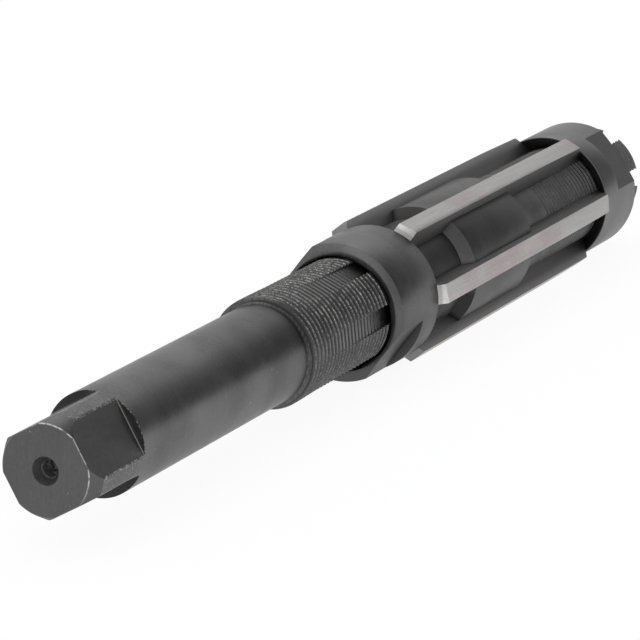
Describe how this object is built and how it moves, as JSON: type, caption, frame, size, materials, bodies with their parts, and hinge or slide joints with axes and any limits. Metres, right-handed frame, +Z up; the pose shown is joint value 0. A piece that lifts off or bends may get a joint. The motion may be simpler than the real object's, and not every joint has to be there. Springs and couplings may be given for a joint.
{
  "type": "adjustable hand reamer",
  "caption": "Adjustable hand reamer: tapered blades in the sloped slots of an arbor, held between two coned nuts, with a plain shank and a square drive end.",
  "frame": {"origin": "on the surface that the reamer lies on, under the middle of its length and width", "axes": "+X along the tool's axis, from the square drive end towards the cutting end; +Z up"},
  "size_m": [0.2016, 0.025, 0.0229],
  "materials": {
    "black_steel": "black oxide over ground and threaded steel, rubbed bright on its edges",
    "black_nut_steel": "black oxide over turned steel, satin",
    "blade_steel": "bare tool steel, finely ground"
  },
  "bodies": {
    "arbor": {"arbor": "black_steel"},
    "rear_nut": {"rear_nut": "black_nut_steel"},
    "front_nut": {"front_nut": "black_nut_steel"},
    "blade_1": {"blade_1": "blade_steel"},
    "blade_2": {"blade_2": "blade_steel"},
    "blade_3": {"blade_3": "blade_steel"},
    "blade_4": {"blade_4": "blade_steel"},
    "blade_5": {"blade_5": "blade_steel"},
    "blade_6": {"blade_6": "blade_steel"}
  },
  "joints": [
    {"name": "rear_nut_travel", "type": "slide", "parent": "arbor", "child": "rear_nut", "axis": [-1, 0, 0], "range_m": [0, 0.023]},
    {"name": "front_nut_travel", "type": "slide", "parent": "arbor", "child": "front_nut", "axis": [-1, 0, 0], "range_m": [0, 0.021]},
    {"name": "blade_1_slide", "type": "slide", "parent": "arbor", "child": "blade_1", "axis": [-0.999, 0.0221, -0.0396], "range_m": [0, 0.02202]},
    {"name": "blade_2_slide", "type": "slide", "parent": "arbor", "child": "blade_2", "axis": [-0.999, 0.0454, -0.0007], "range_m": [0, 0.02202]},
    {"name": "blade_3_slide", "type": "slide", "parent": "arbor", "child": "blade_3", "axis": [-0.999, 0.0233, 0.0389], "range_m": [0, 0.02202]},
    {"name": "blade_4_slide", "type": "slide", "parent": "arbor", "child": "blade_4", "axis": [-0.999, -0.0221, 0.0396], "range_m": [0, 0.02202]},
    {"name": "blade_5_slide", "type": "slide", "parent": "arbor", "child": "blade_5", "axis": [-0.999, -0.0454, 0.0007], "range_m": [0, 0.02202]},
    {"name": "blade_6_slide", "type": "slide", "parent": "arbor", "child": "blade_6", "axis": [-0.999, -0.0233, -0.0389], "range_m": [0, 0.02202]}
  ],
  "couplings": [
    {"joint": "front_nut_travel", "follows": "rear_nut_travel", "ratio": 0.91313},
    {"joint": "blade_1_slide", "follows": "rear_nut_travel", "ratio": 0.95755},
    {"joint": "blade_2_slide", "follows": "rear_nut_travel", "ratio": 0.95755},
    {"joint": "blade_3_slide", "follows": "rear_nut_travel", "ratio": 0.95755},
    {"joint": "blade_4_slide", "follows": "rear_nut_travel", "ratio": 0.95755},
    {"joint": "blade_5_slide", "follows": "rear_nut_travel", "ratio": 0.95755},
    {"joint": "blade_6_slide", "follows": "rear_nut_travel", "ratio": 0.95755}
  ]
}
